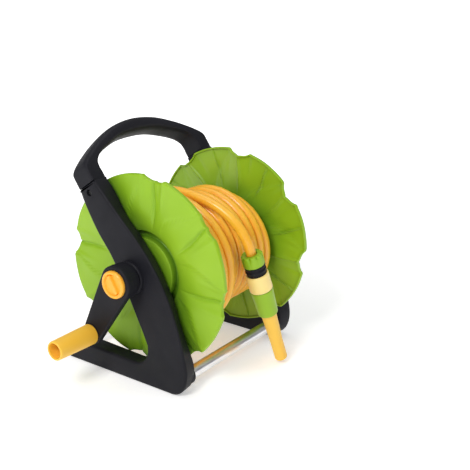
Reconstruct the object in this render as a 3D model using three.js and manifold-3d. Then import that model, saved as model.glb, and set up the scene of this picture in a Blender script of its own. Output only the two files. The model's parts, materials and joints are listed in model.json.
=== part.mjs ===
// A portable garden hose reel. Two V-shaped side frames stand on their base bars, joined by two
// steel tubes and an arched carry handle. Between them a drum of two petal-shaped discs turns on a
// hollow axle, driven by a crank, and the wound hose ends in a quick connector and a spray nozzle.
// Millimetres, +X along the axle away from the crank, -Y to the front, +Z up, floor at z = 0.

import * as THREE from 'three';
import { mergeVertices } from 'three/addons/utils/BufferGeometryUtils.js';
import Module from 'manifold-3d';

const wasm = await Module();
wasm.setup();

// ---- Driving dimensions -------------------------------------------------------------------------

const GAP = 0.3; // running and assembly clearance between neighbouring pieces

const AXLE_HEIGHT = 172;
const AXLE_RADIUS = 12;
const AXLE_BORE = 7;

const FRAME_OUTER = 142; // |x| of the side frames' outer faces
const FRAME_INNER = 115; // |x| of their inner faces
const FRAME_EDGE = 2.5; // rounding of the frames' edges
const FRONT_TAPER = 18; // how far the leg's front wall leans back from outer to inner face
const TAPER_REACH = 34; // the taper fades out this far behind the front edge
const TAPER_AT_TOE = 0.3; // share of the taper left at the floor
const TAPER_FULL = 110; // height above which the taper is full
const BASE_HEIGHT = 36;
const REAR_END = new THREE.Vector2(140.5, 18); // centre of the base bar's round rear end (y, z)
const HUB_RADIUS = 26;
const HUB_BORE = 17;
const HUB_OUTER = 148.5; // |x| of the hub bosses' outer faces

const TUBE_RADIUS = 10;
const TUBE_WALL = 1.5;
const TUBE_END = 133; // |x| of the tubes' ends, inside the frames
const FRONT_TUBE = new THREE.Vector2(-82, 25); // (y, z)
const REAR_TUBE = new THREE.Vector2(140, 20);
const COLLAR_RADIUS = 14.5;
const COLLAR_INNER = { right: 101, left: 110.5 }; // |x| where the collars around the tubes end

const HANDLE_LEAN = THREE.MathUtils.degToRad(35); // the handle leans back from the vertical
const HANDLE_FOOT = new THREE.Vector2(83, 299.5); // middle of the joint between leg and handle
const HANDLE_WIDTH = 37; // across the arch's plane
const HANDLE_EDGE = 8;
const HANDLE_ELBOW = 18; // height along the arch where its feet turn into the arch
const TONGUE = { width: 21, thickness: 15, depth: 32 };

const DISC_RADIUS = 150;
const PETALS = 8;
const PETAL_RISE = 2.5; // petals bulge this far from the mean surface
const NOTCH_DEPTH = 8;
const NOTCH_HALF = THREE.MathUtils.degToRad(7.6);
const NOTCH_ANGLE = THREE.MathUtils.degToRad(37.5); // from the front, upwards
const NOTCH_CROWDING = 0.5; // how much closer the disc's facets stand at the notches
const CORE_RADIUS = 53;
const CORE_END = 95.2;

const STUB_X = 78; // where the hose starts inside the drum
const STUB_RADIUS = 6.5;

const HOSE_DIAMETER = 16;
const LAYER_RADIUS = 97; // outside of the full layers
const TOP_LAYER_RADIUS = 111; // outside of the part layer near the crank side
const WINDING_HALF = 93;
const TOP_LAYER_END = -45; // x where the part layer ends
const TAIL_RADIUS = LAYER_RADIUS + GAP + HOSE_DIAMETER / 2;

const CRANK_INNER = 150; // |x| of the crank's face towards the frame
const CRANK_OUTER = 179;
const CRANK_LENGTH = 108;
const CRANK_ANGLE = THREE.MathUtils.degToRad(30.2); // behind straight down
const CRANK_HUB = 27.5;
const CRANK_END = 17;
const CRANK_SEAT = 14; // the axle ends this far inside the crank's outer face
const KNOB_RADIUS = 21;
const KNOB_SEAT = 8; // depth of the recess that holds the lock knob
const KNOB_STEM = 6;
const SPINDLE_RADIUS = 5;
const GRIP_LENGTH = 74;
const GRIP_RADIUS = 16.2;
const GRIP_WALL = 3;

const NOZZLE_TOP = new THREE.Vector3(-6, -122, AXLE_HEIGHT + 23);
const NOZZLE_TIP = new THREE.Vector3(46, -146, 8);

// ---- Materials ----------------------------------------------------------------------------------

const finish = (color, roughness, metalness = 0) =>
  new THREE.MeshStandardMaterial({ color, roughness, metalness });

const BLACK = finish(0x2b2b30, 0.55);
const GREEN = finish(0x8cc32d, 0.4);
const STEEL = finish(0xc9ccd0, 0.25, 1);
const ORANGE = finish(0xf5a83a, 0.4);
const YELLOW = finish(0xfac34b, 0.45);
const AMBER = finish(0xf7dc8c, 0.35);
const HOSE = finish(0xf0a532, 0.5);
const RUBBER = finish(0x1a1a1a, 0.8);
const DARK_STEEL = finish(0x222226, 0.4, 1);
const BEARING = finish(0xd9d6cc, 0.6);

// ---- Shape helpers ------------------------------------------------------------------------------

/** Position-only, welded copy of a geometry without zero-area triangles, faces pointing out. */
function welded(geometry) {
  const bare = geometry.clone();
  for (const name of Object.keys(bare.attributes)) {
    if (name !== 'position') bare.deleteAttribute(name);
  }
  const merged = mergeVertices(bare, 1e-4);
  const source = merged.index.array;
  const kept = [];
  for (let i = 0; i < source.length; i += 3) {
    const [a, b, c] = [source[i], source[i + 1], source[i + 2]];
    if (a !== b && b !== c && c !== a) kept.push(a, b, c);
  }
  merged.setIndex(kept);
  if (volume(merged) < 0) {
    for (let i = 0; i < kept.length; i += 3) [kept[i], kept[i + 1]] = [kept[i + 1], kept[i]];
    merged.setIndex(kept);
  }
  return merged;
}

function volume(geometry) {
  const position = geometry.attributes.position;
  const index = geometry.index.array;
  const corner = [0, 1, 2].map(() => new THREE.Vector3());
  let sum = 0;
  for (let i = 0; i < index.length; i += 3) {
    corner.forEach((point, k) => point.fromBufferAttribute(position, index[i + k]));
    sum += corner[0].dot(corner[1].cross(corner[2]));
  }
  return sum / 6;
}

function solid(geometry) {
  const merged = welded(geometry);
  return new wasm.Manifold(new wasm.Mesh({
    numProp: 3,
    vertProperties: merged.attributes.position.array,
    triVerts: new Uint32Array(merged.index.array),
  }));
}

function geometryOf(manifold) {
  const mesh = manifold.getMesh();
  const geometry = new THREE.BufferGeometry();
  geometry.setAttribute('position', new THREE.BufferAttribute(mesh.vertProperties, 3));
  geometry.setIndex(new THREE.BufferAttribute(mesh.triVerts, 1));
  return geometry;
}

/** Body with pieces joined on, then holes cut out. */
function carve(body, added, removed) {
  let result = solid(body);
  for (const piece of added) result = result.add(solid(piece));
  for (const hole of removed) result = result.subtract(solid(hole));
  return geometryOf(result);
}

/** Solid of revolution about X from [radius, x] points. */
function turned(points, segments = 28) {
  const profile = points.map(([radius, x]) => new THREE.Vector2(radius, x));
  return new THREE.LatheGeometry(profile, segments).rotateZ(-Math.PI / 2);
}

function rod(radius, from, to, segments = 24) {
  return turned([[0, from], [radius, from], [radius, to], [0, to]], segments);
}

function ring(inner, outer, from, to, segments = 28) {
  return turned([[inner, from], [outer, from], [outer, to], [inner, to], [inner, from]], segments);
}

// (y, z) shapes stand upright when their depth runs along X
const UPRIGHT = new THREE.Matrix4().set(
  0, 0, 1, 0,
  1, 0, 0, 0,
  0, 1, 0, 0,
  0, 0, 0, 1,
);

/** Plate of a (y, z) shape between two x values, with rounded edges. */
function plate(shape, from, to, edge = 0, steps = 1) {
  const geometry = new THREE.ExtrudeGeometry(shape, {
    depth: to - from - 2 * edge,
    steps,
    curveSegments: 5,
    bevelEnabled: edge > 0,
    bevelThickness: edge,
    bevelSize: edge,
    bevelOffset: -edge,
    bevelSegments: 2,
  });
  return geometry.translate(0, 0, from + edge).applyMatrix4(UPRIGHT);
}

/** Piece that was built along X, turned to run from one point towards another. */
function aimed(geometry, from, towards) {
  const direction = towards.clone().sub(from).normalize();
  const turn = new THREE.Quaternion().setFromUnitVectors(new THREE.Vector3(1, 0, 0), direction);
  return geometry.applyQuaternion(turn).translate(from.x, from.y, from.z);
}

function mirrored(geometry) {
  return welded(geometry.clone().scale(-1, 1, 1));
}

function piece(name, geometry, material) {
  const mesh = new THREE.Mesh(geometry, material);
  mesh.name = name;
  return mesh;
}

// ---- Side frames --------------------------------------------------------------------------------

// directions along the handle's plane and across it, towards the rear, in (y, z)
const ALONG = new THREE.Vector2(Math.sin(HANDLE_LEAN), Math.cos(HANDLE_LEAN));
const ACROSS = new THREE.Vector2(Math.cos(HANDLE_LEAN), -Math.sin(HANDLE_LEAN));
const LEG_MIDDLE = (FRAME_OUTER + FRAME_INNER) / 2;

const points2 = (pairs) => pairs.map(([y, z]) => new THREE.Vector2(y, z));
const jointEnd = (side) => HANDLE_FOOT.clone().addScaledVector(ACROSS, side * HANDLE_WIDTH / 2);

// leg edges at the outer face, from the handle joint down (front) and from the base up (rear)
const FRONT_EDGE = [
  jointEnd(-1), ...points2([[28, 272], [-26, 220], [-64, 167], [-88, 111], [-101, 55]]),
];
const REAR_EDGE = [
  ...points2([[-26, 68], [-12, 98], [33, 185], [67, 231], [90, 270]]), jointEnd(1),
];
const TOE = points2([[-100, 30], [-74, 0]]); // where the front edge runs into the base

function sideOutline() {
  const shape = new THREE.Shape();
  shape.moveTo(-74, 0);
  shape.lineTo(REAR_END.x, 0);
  shape.absarc(REAR_END.x, REAR_END.y, REAR_END.y, -Math.PI / 2, Math.PI / 2);
  shape.lineTo(112, BASE_HEIGHT);
  shape.lineTo(8, BASE_HEIGHT - 3);
  shape.quadraticCurveTo(-30, BASE_HEIGHT - 4, REAR_EDGE[0].x, REAR_EDGE[0].y);
  shape.splineThru(REAR_EDGE.slice(1));
  shape.lineTo(FRONT_EDGE[0].x, FRONT_EDGE[0].y);
  shape.splineThru(FRONT_EDGE.slice(1));
  shape.bezierCurveTo(-106, 30, -98, 2, TOE[1].x, TOE[1].y);
  return shape;
}

/** 1 on the leg's front edge, 0 behind the taper's reach and at the handle, and low at the toe. */
function frontness(y, z) {
  const here = new THREE.Vector3(y, z, 0);
  const nearest = new THREE.Vector3();
  let distance = Infinity;
  const edge = [...FRONT_EDGE, ...TOE].map((point) => new THREE.Vector3(point.x, point.y, 0));
  for (let i = 1; i < edge.length; i++) {
    new THREE.Line3(edge[i - 1], edge[i]).closestPointToPoint(here, true, nearest);
    distance = Math.min(distance, nearest.distanceTo(here));
  }
  const below = HANDLE_FOOT.clone().sub(new THREE.Vector2(y, z)).dot(ALONG);
  const strength = THREE.MathUtils.smoothstep(below, 0.2 * TONGUE.depth, 3 * TONGUE.depth)
    * THREE.MathUtils.lerp(TAPER_AT_TOE, 1, THREE.MathUtils.smoothstep(z, BASE_HEIGHT, TAPER_FULL));
  return strength * THREE.MathUtils.clamp(1 - distance / TAPER_REACH, 0, 1);
}

/** Leans the front wall back towards the inner face. */
function tapered(geometry) {
  const position = geometry.attributes.position;
  for (let i = 0; i < position.count; i++) {
    const depth = (FRAME_OUTER - position.getX(i)) / (FRAME_OUTER - FRAME_INNER);
    const shift = FRONT_TAPER * depth * frontness(position.getY(i), position.getZ(i));
    position.setY(i, position.getY(i) + shift);
  }
  return geometry;
}

/** Point of the object from x, height along the handle's plane, and depth across it. */
function handlePoint(x, along, across) {
  const place = HANDLE_FOOT.clone().addScaledVector(ALONG, along).addScaledVector(ACROSS, across);
  return new THREE.Vector3(x, place.x, place.y);
}

/** Block in the handle's directions: thickness along X, width across, height from low to high. */
function handleBlock(x, thickness, width, low, high) {
  const block = new THREE.BoxGeometry(thickness, width, high - low);
  block.rotateX(-HANDLE_LEAN);
  const middle = handlePoint(x, (low + high) / 2, 0);
  return block.translate(middle.x, middle.y, middle.z);
}

const SCREW = { headRadius: 4.2, head: 3, shankRadius: 1.8, shank: 13, recess: 2.5, boss: 6.4, proud: 1.8 };

/** Where the handle screws sit on the right side: their seat and the direction they go in. */
const SCREW_SEATS = {
  outer: {
    from: handlePoint(FRAME_OUTER - SCREW.recess, -12, 2),
    inward: new THREE.Vector3(-1, 0, 0),
  },
  rear: {
    from: handlePoint(LEG_MIDDLE, -20, 17.5 - SCREW.recess),
    inward: new THREE.Vector3(0, -ACROSS.x, -ACROSS.y),
  },
};

function screwHole({ from, inward }) {
  const hole = turned([
    [0, -8], [SCREW.headRadius + 1, -8], [SCREW.headRadius + 1, SCREW.head],
    [SCREW.shankRadius + GAP, SCREW.head], [SCREW.shankRadius + GAP, SCREW.head + SCREW.shank + 1],
    [0, SCREW.head + SCREW.shank + 1],
  ], 12);
  return aimed(hole, from, from.clone().add(inward));
}

// the nozzle is hung on a peg that stands square to the right leg's front edge
const PEG_FOOT = new THREE.Vector3(LEG_MIDDLE + 4, -4.4, 242.3);
const PEG_AIM = PEG_FOOT.clone().add(new THREE.Vector3(0, -0.72, 0.69));
const PEG_RADIUS = 8;
const PEG_SHANK = 5;
const PEG_DEPTH = 12;

/** Side frame as seen on the right; only the real right one carries the parking peg. */
function sideFrame(collarInner, withPeg) {
  const body = tapered(plate(sideOutline(), FRAME_INNER, FRAME_OUTER, FRAME_EDGE, 2));
  const hub = turned([
    [0, FRAME_INNER - 1.5], [HUB_RADIUS - 3, FRAME_INNER - 1.5], [HUB_RADIUS, FRAME_INNER + 4],
    [HUB_RADIUS, HUB_OUTER - 2], [HUB_RADIUS - 2, HUB_OUTER], [0, HUB_OUTER],
  ]).translate(0, 0, AXLE_HEIGHT);
  const collars = [FRONT_TUBE, REAR_TUBE].map((at) =>
    turned([
      [0, collarInner], [COLLAR_RADIUS - 1.5, collarInner], [COLLAR_RADIUS, collarInner + 1.5],
      [COLLAR_RADIUS, FRAME_INNER + 8], [0, FRAME_INNER + 8],
    ], 24).translate(0, at.x, at.y));
  const { rear } = SCREW_SEATS;
  const inwards = rear.from.clone().add(rear.inward);
  const screwBoss = aimed(rod(SCREW.boss, -SCREW.recess - SCREW.proud, 4, 16), rear.from, inwards);
  const bosses = [hub, screwBoss, ...collars];
  const holes = [
    rod(HUB_BORE, FRAME_INNER - 3, HUB_OUTER + 1).translate(0, 0, AXLE_HEIGHT),
    ...[FRONT_TUBE, REAR_TUBE].map((at) =>
      rod(TUBE_RADIUS + GAP, collarInner - 1, TUBE_END + GAP).translate(0, at.x, at.y)),
    handleBlock(LEG_MIDDLE, TONGUE.thickness + 2 * GAP, TONGUE.width + 2 * GAP, -TONGUE.depth - 1, 20),
    screwHole(SCREW_SEATS.outer),
    screwHole(SCREW_SEATS.rear),
  ];
  if (withPeg) {
    bosses.push(aimed(rod(PEG_RADIUS + 1, -PEG_DEPTH, 0, 16), PEG_FOOT, PEG_AIM));
    holes.push(aimed(rod(PEG_SHANK + GAP, -PEG_DEPTH, 1, 16), PEG_FOOT, PEG_AIM));
  }
  return carve(body, bosses, holes);
}

function parkingPeg() {
  const body = turned([
    [0, GAP - PEG_DEPTH], [PEG_SHANK, GAP - PEG_DEPTH], [PEG_SHANK, GAP], [PEG_RADIUS, GAP],
    [PEG_RADIUS - 1, 20], [PEG_RADIUS + 1, 23], [PEG_RADIUS + 1, 28], [PEG_RADIUS - 1, 30], [0, 30],
  ], 16);
  return aimed(body, PEG_FOOT, PEG_AIM);
}

// ---- Handle -------------------------------------------------------------------------------------

function handleShape() {
  const outside = [[133, 34], [115, 46.5], [86, 62], [47, 77]];
  const inside = [[38, 56.5], [62, 50], [84, 43.5], [104, 34]];
  const shape = new THREE.Shape();
  shape.moveTo(-FRAME_OUTER, -2 * HANDLE_EDGE);
  shape.lineTo(-FRAME_OUTER, 24);
  shape.splineThru(points2([
    ...outside.map(([x, s]) => [-x, s]), [0, 83], ...outside.toReversed(), [FRAME_OUTER, 24],
  ]));
  shape.lineTo(FRAME_OUTER, -2 * HANDLE_EDGE);
  shape.lineTo(FRAME_INNER, -2 * HANDLE_EDGE);
  shape.lineTo(FRAME_INNER, HANDLE_ELBOW);
  shape.splineThru(points2([
    ...inside.toReversed(), [0, 59], ...inside.map(([x, s]) => [-x, s]), [-FRAME_INNER, HANDLE_ELBOW],
  ]));
  shape.lineTo(-FRAME_INNER, -2 * HANDLE_EDGE);
  shape.closePath();
  return shape;
}

/** Squares the rounded section off below the elbows, where it has to match the legs. */
function squareFeet(geometry) {
  const position = geometry.attributes.position;
  for (let i = 0; i < position.count; i++) {
    if (position.getY(i) > 0) continue;
    const side = Math.sign(position.getX(i));
    const across = (position.getX(i) - side * LEG_MIDDLE) / ((FRAME_OUTER - FRAME_INNER) / 2);
    const deep = position.getZ(i) / (HANDLE_WIDTH / 2);
    const reach = Math.max(Math.abs(across), Math.abs(deep), 0.5);
    position.setX(i, side * LEG_MIDDLE + across / reach * (FRAME_OUTER - FRAME_INNER) / 2);
    position.setZ(i, deep / reach * HANDLE_WIDTH / 2);
  }
  return geometry;
}

function carryHandle() {
  const arch = new THREE.ExtrudeGeometry(handleShape(), {
    depth: HANDLE_WIDTH - 2 * HANDLE_EDGE,
    curveSegments: 4,
    bevelThickness: HANDLE_EDGE,
    bevelSize: HANDLE_EDGE - 1,
    bevelOffset: 1 - HANDLE_EDGE,
    bevelSegments: 3,
  });
  // the shape's y runs along the handle's plane, its depth across it, rearwards to forwards
  squareFeet(arch.translate(0, 0, HANDLE_EDGE - HANDLE_WIDTH / 2));
  arch.rotateX(Math.PI / 2 - HANDLE_LEAN).translate(0, HANDLE_FOOT.x, HANDLE_FOOT.y);
  const below = handleBlock(0, 3 * FRAME_OUTER, 2 * HANDLE_WIDTH, -3 * HANDLE_EDGE, GAP);
  const cut = carve(arch, [], [below]);
  const tongues = [-1, 1].map((side) =>
    handleBlock(side * LEG_MIDDLE, TONGUE.thickness, TONGUE.width, -TONGUE.depth, 14));
  const holes = Object.values(SCREW_SEATS).map(screwHole);
  return carve(cut, tongues, [...holes, ...holes.map(mirrored)]);
}

function handleScrew() {
  const { headRadius, head, shankRadius, shank } = SCREW;
  const body = turned([
    [0, 0.4], [headRadius - 1.2, 0.4], [headRadius, 1.4], [headRadius, head - GAP],
    [shankRadius, head - GAP], [shankRadius, head + shank - 1.5], [0.3, head + shank], [0, head + shank],
  ], 12);
  const slots = [0, Math.PI / 2].map((angle) =>
    new THREE.BoxGeometry(2.4, 1.1, 5).rotateX(angle));
  return carve(body, [], slots);
}

// ---- Drum ---------------------------------------------------------------------------------------

/** Rises to 1 in the middle of each petal and falls to -1 at each crease. */
function petalWave(angle) {
  const turn = (angle - NOTCH_ANGLE) * PETALS / (2 * Math.PI);
  const within = turn - Math.floor(turn);
  return 2 * Math.sin(Math.PI * within) ** 0.8 - 1;
}

/** 1 in the middle of each rim notch, 0 outside it. */
function notchWave(angle) {
  const pitch = 2 * Math.PI / PETALS;
  const turn = (angle - NOTCH_ANGLE) / pitch;
  const offset = Math.abs(turn - Math.round(turn)) * pitch;
  return offset > NOTCH_HALF ? 0 : (1 - (offset / NOTCH_HALF) ** 2) ** 0.75;
}

/** Right-hand disc: hub, shadow groove, petals and rim lip, in axle coordinates. */
function drumDisc() {
  const bore = AXLE_RADIUS + GAP;
  const disc = turned([
    [bore, 112.5], [20, 112.5], [22, 109.5], [50, 109.5], [52, 98.5],
    [63.5, 98.5], [65.5, 108], [106, 109.5], [146, 108], [DISC_RADIUS, 107.5],
    [DISC_RADIUS, 101.5], [147.2, 101.5], [146, 104.8], [106, 106.3], [67, 105.5], [64, 95.5],
    [49.6, 95.5], [49.6, 86], [46.5, 86], [46.5, 106.5], [18, 106.5], [bore, 92], [bore, 112.5],
  ], 64);
  const position = disc.attributes.position;
  for (let i = 0; i < position.count; i++) {
    const radius = Math.hypot(position.getY(i), position.getZ(i));
    const even = Math.atan2(position.getZ(i), -position.getY(i));
    const angle = even - NOTCH_CROWDING / PETALS * Math.sin(PETALS * (even - NOTCH_ANGLE));
    const rise = PETAL_RISE * THREE.MathUtils.smoothstep(radius, 64, 106) * petalWave(angle);
    const notch = NOTCH_DEPTH * THREE.MathUtils.smoothstep(radius, 108, 146) * notchWave(angle);
    const edge = radius - notch;
    position.setXYZ(i, position.getX(i) + rise, -edge * Math.cos(angle), edge * Math.sin(angle));
  }
  return welded(disc);
}

function hoseWinding() {
  const inner = CORE_RADIUS + GAP;
  return turned([
    [inner, -WINDING_HALF], [LAYER_RADIUS, -WINDING_HALF], [TOP_LAYER_RADIUS, -WINDING_HALF + 9],
    [TOP_LAYER_RADIUS, TOP_LAYER_END - 6], [LAYER_RADIUS, TOP_LAYER_END],
    [LAYER_RADIUS, WINDING_HALF], [inner, WINDING_HALF], [inner, -WINDING_HALF],
  ], 48);
}

// ---- Crank --------------------------------------------------------------------------------------

/** Outline of the crank arm in (y, z), hub at the origin, end straight down. */
function armOutline() {
  const lean = Math.asin((CRANK_HUB - CRANK_END) / CRANK_LENGTH);
  const shape = new THREE.Shape();
  shape.absarc(0, 0, CRANK_HUB, -lean, Math.PI + lean, false);
  shape.absarc(0, -CRANK_LENGTH, CRANK_END, Math.PI + lean, -lean + 2 * Math.PI, false);
  shape.closePath();
  return shape;
}

function crankArm() {
  const armFace = CRANK_OUTER - 2;
  const arm = plate(armOutline(), armFace - 11, armFace, 2);
  const hub = turned([
    [0, CRANK_INNER], [CRANK_HUB - 3, CRANK_INNER], [CRANK_HUB - 1, CRANK_INNER + 2],
    [CRANK_HUB, CRANK_OUTER - 2], [CRANK_HUB - 2, CRANK_OUTER], [0, CRANK_OUTER],
  ], 32);
  const holes = [
    rod(AXLE_RADIUS + GAP, CRANK_INNER - 1, CRANK_OUTER - CRANK_SEAT + GAP),
    rod(KNOB_RADIUS + 0.5, CRANK_OUTER - KNOB_SEAT, CRANK_OUTER + 1, 32),
    rod(KNOB_STEM + GAP, CRANK_OUTER - CRANK_SEAT - 1, CRANK_OUTER, 16),
    rod(SPINDLE_RADIUS + GAP, armFace - 12, armFace + 1, 16).translate(0, 0, -CRANK_LENGTH),
  ];
  return carve(arm, [hub], holes);
}

function lockKnob() {
  const face = CRANK_OUTER + 2;
  const disc = turned([
    [0, CRANK_OUTER - KNOB_SEAT + GAP], [KNOB_RADIUS, CRANK_OUTER - KNOB_SEAT + GAP], [KNOB_RADIUS, face],
    [KNOB_RADIUS - 1.5, face + 1.5], [KNOB_RADIUS - 5, face + 1.5], [KNOB_RADIUS - 6.5, face - 2.5],
    [0, face - 2.5],
  ], 32);
  const stem = rod(KNOB_STEM, CRANK_OUTER - CRANK_SEAT - 5, CRANK_OUTER - KNOB_SEAT + 1, 16);
  const bar = new THREE.BoxGeometry(6, 7, 2 * KNOB_RADIUS - 3);
  bar.translate(face - 0.7, 0, 0);
  return carve(disc, [stem, bar], []);
}

// The grip is built along +X from the arm's outer face, with its axis on the X axis.
function crankGrip() {
  const outer = GRIP_RADIUS;
  const bore = outer - GRIP_WALL;
  return turned([
    [SPINDLE_RADIUS + GAP, 0], [outer - 0.8, 0], [outer, 1], [outer - 1.2, GRIP_LENGTH - 2],
    [outer - 2, GRIP_LENGTH], [bore - 1.2, GRIP_LENGTH], [bore - 1.2, 30],
    [SPINDLE_RADIUS + GAP, 30], [SPINDLE_RADIUS + GAP, 0],
  ]);
}

function gripSpindle() {
  return turned([
    [0, -14.5], [8, -14.5], [8, -12], [SPINDLE_RADIUS, -11.7], [SPINDLE_RADIUS, 32], [2.6, 32],
    [2.6, 22], [0, 22],
  ], 16);
}

function gripRetainer() {
  return turned([
    [0, 23], [2.3, 23], [2.3, 32.4], [8, 32.4], [8, 34], [5, 36], [0, 36],
  ], 16);
}

// ---- Water inlet --------------------------------------------------------------------------------

function inletSpigot() {
  return turned([
    [4.5, 127], [HUB_BORE - GAP, 127], [HUB_BORE - GAP, HUB_OUTER + GAP], [24, HUB_OUTER + GAP],
    [24, HUB_OUTER + 4], [11, HUB_OUTER + 5], [11, HUB_OUTER + 12], [8, HUB_OUTER + 15],
    [8, HUB_OUTER + 20], [9.5, HUB_OUTER + 21.5], [8, HUB_OUTER + 24], [7.5, HUB_OUTER + 31],
    [6, HUB_OUTER + 32], [4.5, HUB_OUTER + 32], [4.5, 127],
  ], 24);
}

// ---- Connector and nozzle, built along +X from the top of the nut to the nozzle's tip ----------

const NOZZLE_LENGTH = NOZZLE_TOP.distanceTo(NOZZLE_TIP);
const HOSE_SEAT = HOSE_DIAMETER / 2 + 0.6;

function connectorNut() {
  const body = ring(HOSE_SEAT, 17, 0, 19, 36);
  const flutes = [];
  for (let i = 0; i < 8; i++) {
    const angle = i * Math.PI / 4;
    const flute = rod(3, -1, 5, 12).translate(0, 18.5 * Math.cos(angle), 18.5 * Math.sin(angle));
    flutes.push(flute);
  }
  return carve(body, [], flutes);
}

function connectorBody() {
  return turned([
    [0, 16], [6, 16], [6, 19 + GAP], [16.6, 19 + GAP], [16.6, 22.5], [14.8, 23.2], [14.8, 26],
    [16.6, 26.7], [16.6, 29], [15.3, 29.3], [15.3, 50], [12.3, 50], [12.3, 42], [0, 42],
  ], 24);
}

function connectorSleeve() {
  return turned([
    [15.6, 34.5], [17.6, 34.5], [18.3, 36], [18.3, 62], [17.6, 63.5], [15.6, 63.5], [15.6, 34.5],
  ]);
}

function nozzleBody() {
  return turned([
    [4, 43], [10, 43], [12, 46], [12, 50 + GAP], [15.3, 50 + GAP], [15.3, 63.5 + GAP],
    [17.8, 63.5 + GAP], [18, 66], [15.6, 107], [14.6, 108.5], [12.7, 108.5], [12.7, 92], [4, 92],
    [4, 43],
  ], 24);
}

function nozzleStem() {
  return turned([
    [0, 92 + GAP], [9.2, 92 + GAP], [9.2, 98], [4, 98], [4, 150], [2.5, 162], [0, 164],
  ], 16);
}

function nozzleTube() {
  const tip = NOZZLE_LENGTH;
  return turned([
    [9.5, 94], [12.4, 94], [12.1, 112], [10.4, 160], [10.2, tip - 2], [9.2, tip], [6.2, tip],
    [6.2, 166], [8.2, 155], [9.5, 112], [9.5, 94],
  ], 24);
}

/** Tail of the hose: over the top of the winding, then away from it and into the connector. */
function tailRoute() {
  const points = [];
  for (let degrees = 128; degrees >= 62; degrees -= 11) {
    const angle = THREE.MathUtils.degToRad(degrees);
    const x = -36 + (128 - degrees) * 0.21;
    points.push(new THREE.Vector3(x, -TAIL_RADIUS * Math.cos(angle),
      AXLE_HEIGHT + TAIL_RADIUS * Math.sin(angle)));
  }
  points.push(new THREE.Vector3(-18.6, -79, AXLE_HEIGHT + 75));
  points.push(new THREE.Vector3(-14.6, -104.5, AXLE_HEIGHT + 52));
  const upwards = NOZZLE_TOP.clone().sub(NOZZLE_TIP).normalize();
  for (const height of [16, 7, -4, -15]) {
    points.push(NOZZLE_TOP.clone().addScaledVector(upwards, height));
  }
  return new THREE.CatmullRomCurve3(points, false, 'centripetal');
}

function hoseTail() {
  const section = new THREE.Shape();
  section.absarc(0, 0, HOSE_DIAMETER / 2, 0, 2 * Math.PI);
  return new THREE.ExtrudeGeometry(section, {
    extrudePath: tailRoute(),
    steps: 18,
    curveSegments: 5,
    bevelEnabled: false,
  });
}

// ---- Assembly -----------------------------------------------------------------------------------

const reel = new THREE.Group();

reel.add(piece('side_frame_right', sideFrame(COLLAR_INNER.right, true), BLACK));
reel.add(piece('side_frame_left', mirrored(sideFrame(COLLAR_INNER.left, false)), BLACK));
reel.add(piece('carry_handle', carryHandle(), BLACK));
reel.add(piece('parking_peg', parkingPeg(), BLACK));

const screw = handleScrew();
for (const [where, seat] of Object.entries(SCREW_SEATS)) {
  const placed = aimed(screw.clone(), seat.from, seat.from.clone().add(seat.inward));
  reel.add(piece(`handle_screw_${where}_right`, placed, DARK_STEEL));
  reel.add(piece(`handle_screw_${where}_left`, mirrored(placed), DARK_STEEL));
}

for (const [name, at] of [['front', FRONT_TUBE], ['rear', REAR_TUBE]]) {
  const tube = piece(`${name}_cross_tube`,
    ring(TUBE_RADIUS - TUBE_WALL, TUBE_RADIUS, -TUBE_END, TUBE_END, 24), STEEL);
  tube.position.set(0, at.x, at.y);
  reel.add(tube);
}

const axle = new THREE.Group();
axle.position.z = AXLE_HEIGHT;
reel.add(axle);

const bush = ring(AXLE_RADIUS + 0.4, HUB_BORE - GAP, FRAME_INNER - 1, HUB_OUTER - 22.5, 24);
axle.add(piece('axle_bush_right', bush, BEARING));
const longBush = ring(AXLE_RADIUS + 0.4, HUB_BORE - GAP, FRAME_INNER - 1, HUB_OUTER, 24);
axle.add(piece('axle_bush_left', mirrored(longBush), BEARING));
axle.add(piece('inlet_spigot', inletSpigot(), BLACK));
axle.add(piece('inlet_seal', ring(AXLE_BORE + 1, AXLE_RADIUS - 0.5, 124.2, 126.7, 24), RUBBER));

const disc = drumDisc();
axle.add(piece('drum_disc_right', disc, GREEN));
axle.add(piece('drum_disc_left', mirrored(disc), GREEN));
axle.add(piece('axle_tube', ring(AXLE_BORE, AXLE_RADIUS, CRANK_SEAT - CRANK_OUTER, 124, 24), STEEL));
axle.add(piece('hose_winding', hoseWinding(), HOSE));

const stubTurn = new THREE.Matrix4().makeRotationY(-Math.PI / 2).setPosition(STUB_X, 0, 0);
const stubHole = rod(STUB_RADIUS + 0.5, AXLE_RADIUS, CORE_RADIUS + 5, 16);
const core = carve(ring(CORE_RADIUS - 3, CORE_RADIUS, -CORE_END, CORE_END, 36), [],
  [stubHole.applyMatrix4(stubTurn)]);
axle.add(piece('drum_core', core, BLACK));
const stub = turned([
  [0, AXLE_RADIUS + GAP], [STUB_RADIUS, AXLE_RADIUS + GAP],
  [STUB_RADIUS, CORE_RADIUS - 1], [0, CORE_RADIUS - 1],
], 16).applyMatrix4(stubTurn);
axle.add(piece('hose_stub', stub, BLACK));

// the crank is built on the +X side, mirrored to -X, and its arm swung back from straight down
const crank = new THREE.Group();
crank.rotation.x = CRANK_ANGLE;
axle.add(crank);
crank.add(piece('crank_arm', mirrored(crankArm()), BLACK));
const knob = piece('crank_lock_knob', mirrored(lockKnob()), ORANGE);
crank.add(knob);
knob.rotation.x = -2 * CRANK_ANGLE;

const gripMount = new THREE.Group();
gripMount.position.set(-(CRANK_OUTER - 2 + GAP), 0, -CRANK_LENGTH);
crank.add(gripMount);
gripMount.add(piece('crank_grip', mirrored(crankGrip()), YELLOW));
gripMount.add(piece('grip_spindle', mirrored(gripSpindle()), BLACK));
gripMount.add(piece('grip_retainer', mirrored(gripRetainer()), BLACK));

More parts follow.
